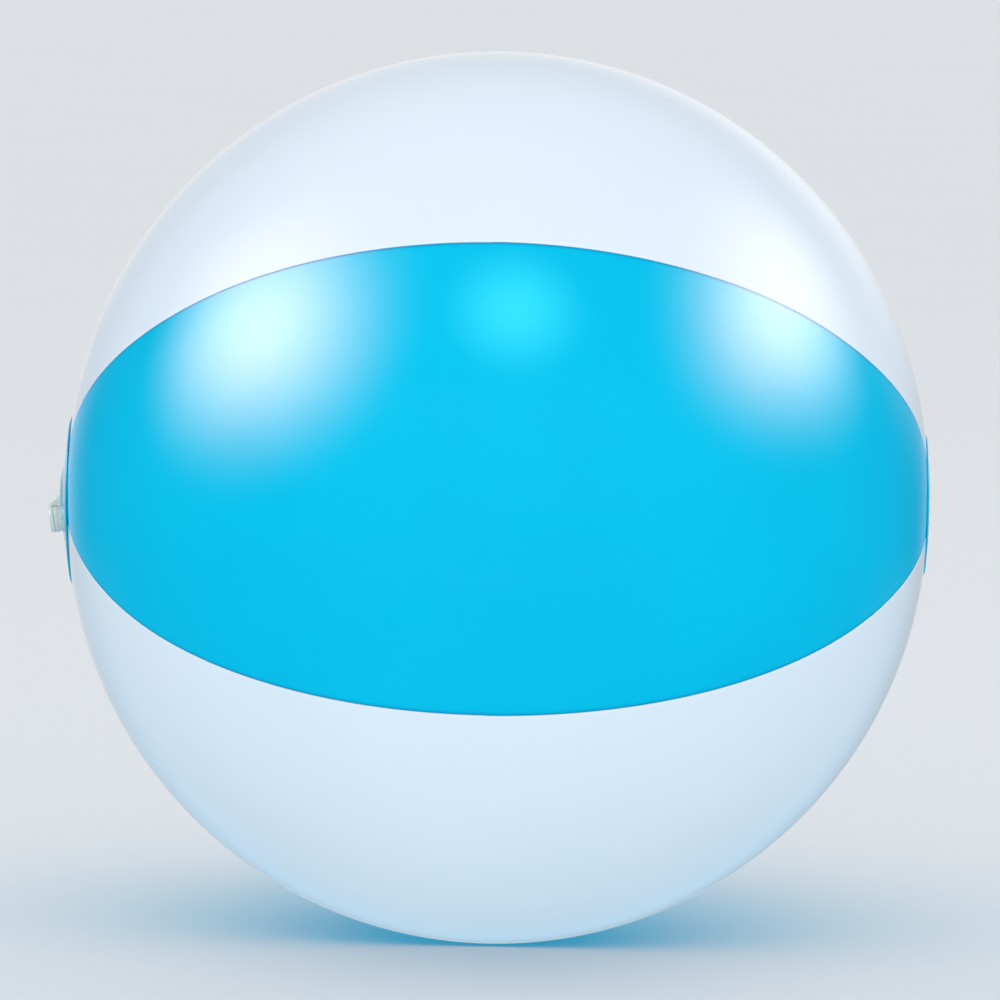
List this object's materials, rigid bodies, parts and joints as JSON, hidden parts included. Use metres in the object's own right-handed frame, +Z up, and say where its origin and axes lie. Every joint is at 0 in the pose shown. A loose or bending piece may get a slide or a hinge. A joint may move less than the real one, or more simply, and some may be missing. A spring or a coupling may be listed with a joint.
{
  "type": "inflatable beach ball",
  "caption": "Round inflated ball of welded film panels in cyan and white, with an end disc over each pole and a push-in air valve with a strapped stopper.",
  "frame": {"origin": "middle of the small flat that the ball rests on, on the floor", "axes": "+X along the pole axis away from the valve, +Z up, -Y towards the viewer of the front panel"},
  "size_m": [0.2954, 0.2999, 0.298],
  "materials": {
    "cyan_film": "satin-gloss film",
    "white_film": "satin-gloss film",
    "clear_vinyl": "clear soft vinyl"
  },
  "bodies": {
    "shell": {"front_panel": "cyan_film", "upper_front_panel": "white_film", "upper_back_panel": "cyan_film", "back_panel": "white_film", "lower_back_panel": "cyan_film", "lower_front_panel": "white_film", "valve_end_disc": "cyan_film", "plain_end_disc": "cyan_film", "valve_flange": "clear_vinyl", "valve_skirt": "clear_vinyl"},
    "valve": {"valve_stem": "clear_vinyl", "stopper_strap": "clear_vinyl"},
    "stopper": {"stopper": "clear_vinyl"},
    "flap": {"check_flap": "clear_vinyl"}
  },
  "joints": [
    {"name": "valve_pull", "type": "slide", "parent": "shell", "child": "valve", "axis": [-0.9922, 0, -0.1247], "range_m": [0, 0.015], "deforming": ["valve_skirt"]},
    {"name": "stopper_pull", "type": "slide", "parent": "valve", "child": "stopper", "axis": [-0.9922, 0, -0.1247], "range_m": [0, 0.0053], "deforming": ["stopper_strap"]},
    {"name": "flap_open", "type": "hinge", "parent": "valve", "child": "flap", "pos_m": [-0.13606, -0.00215, 0.14507], "axis": [0, -1, 0], "range_deg": [0, 60], "stiffness_Nm_per_rad": 0.0003}
  ]
}
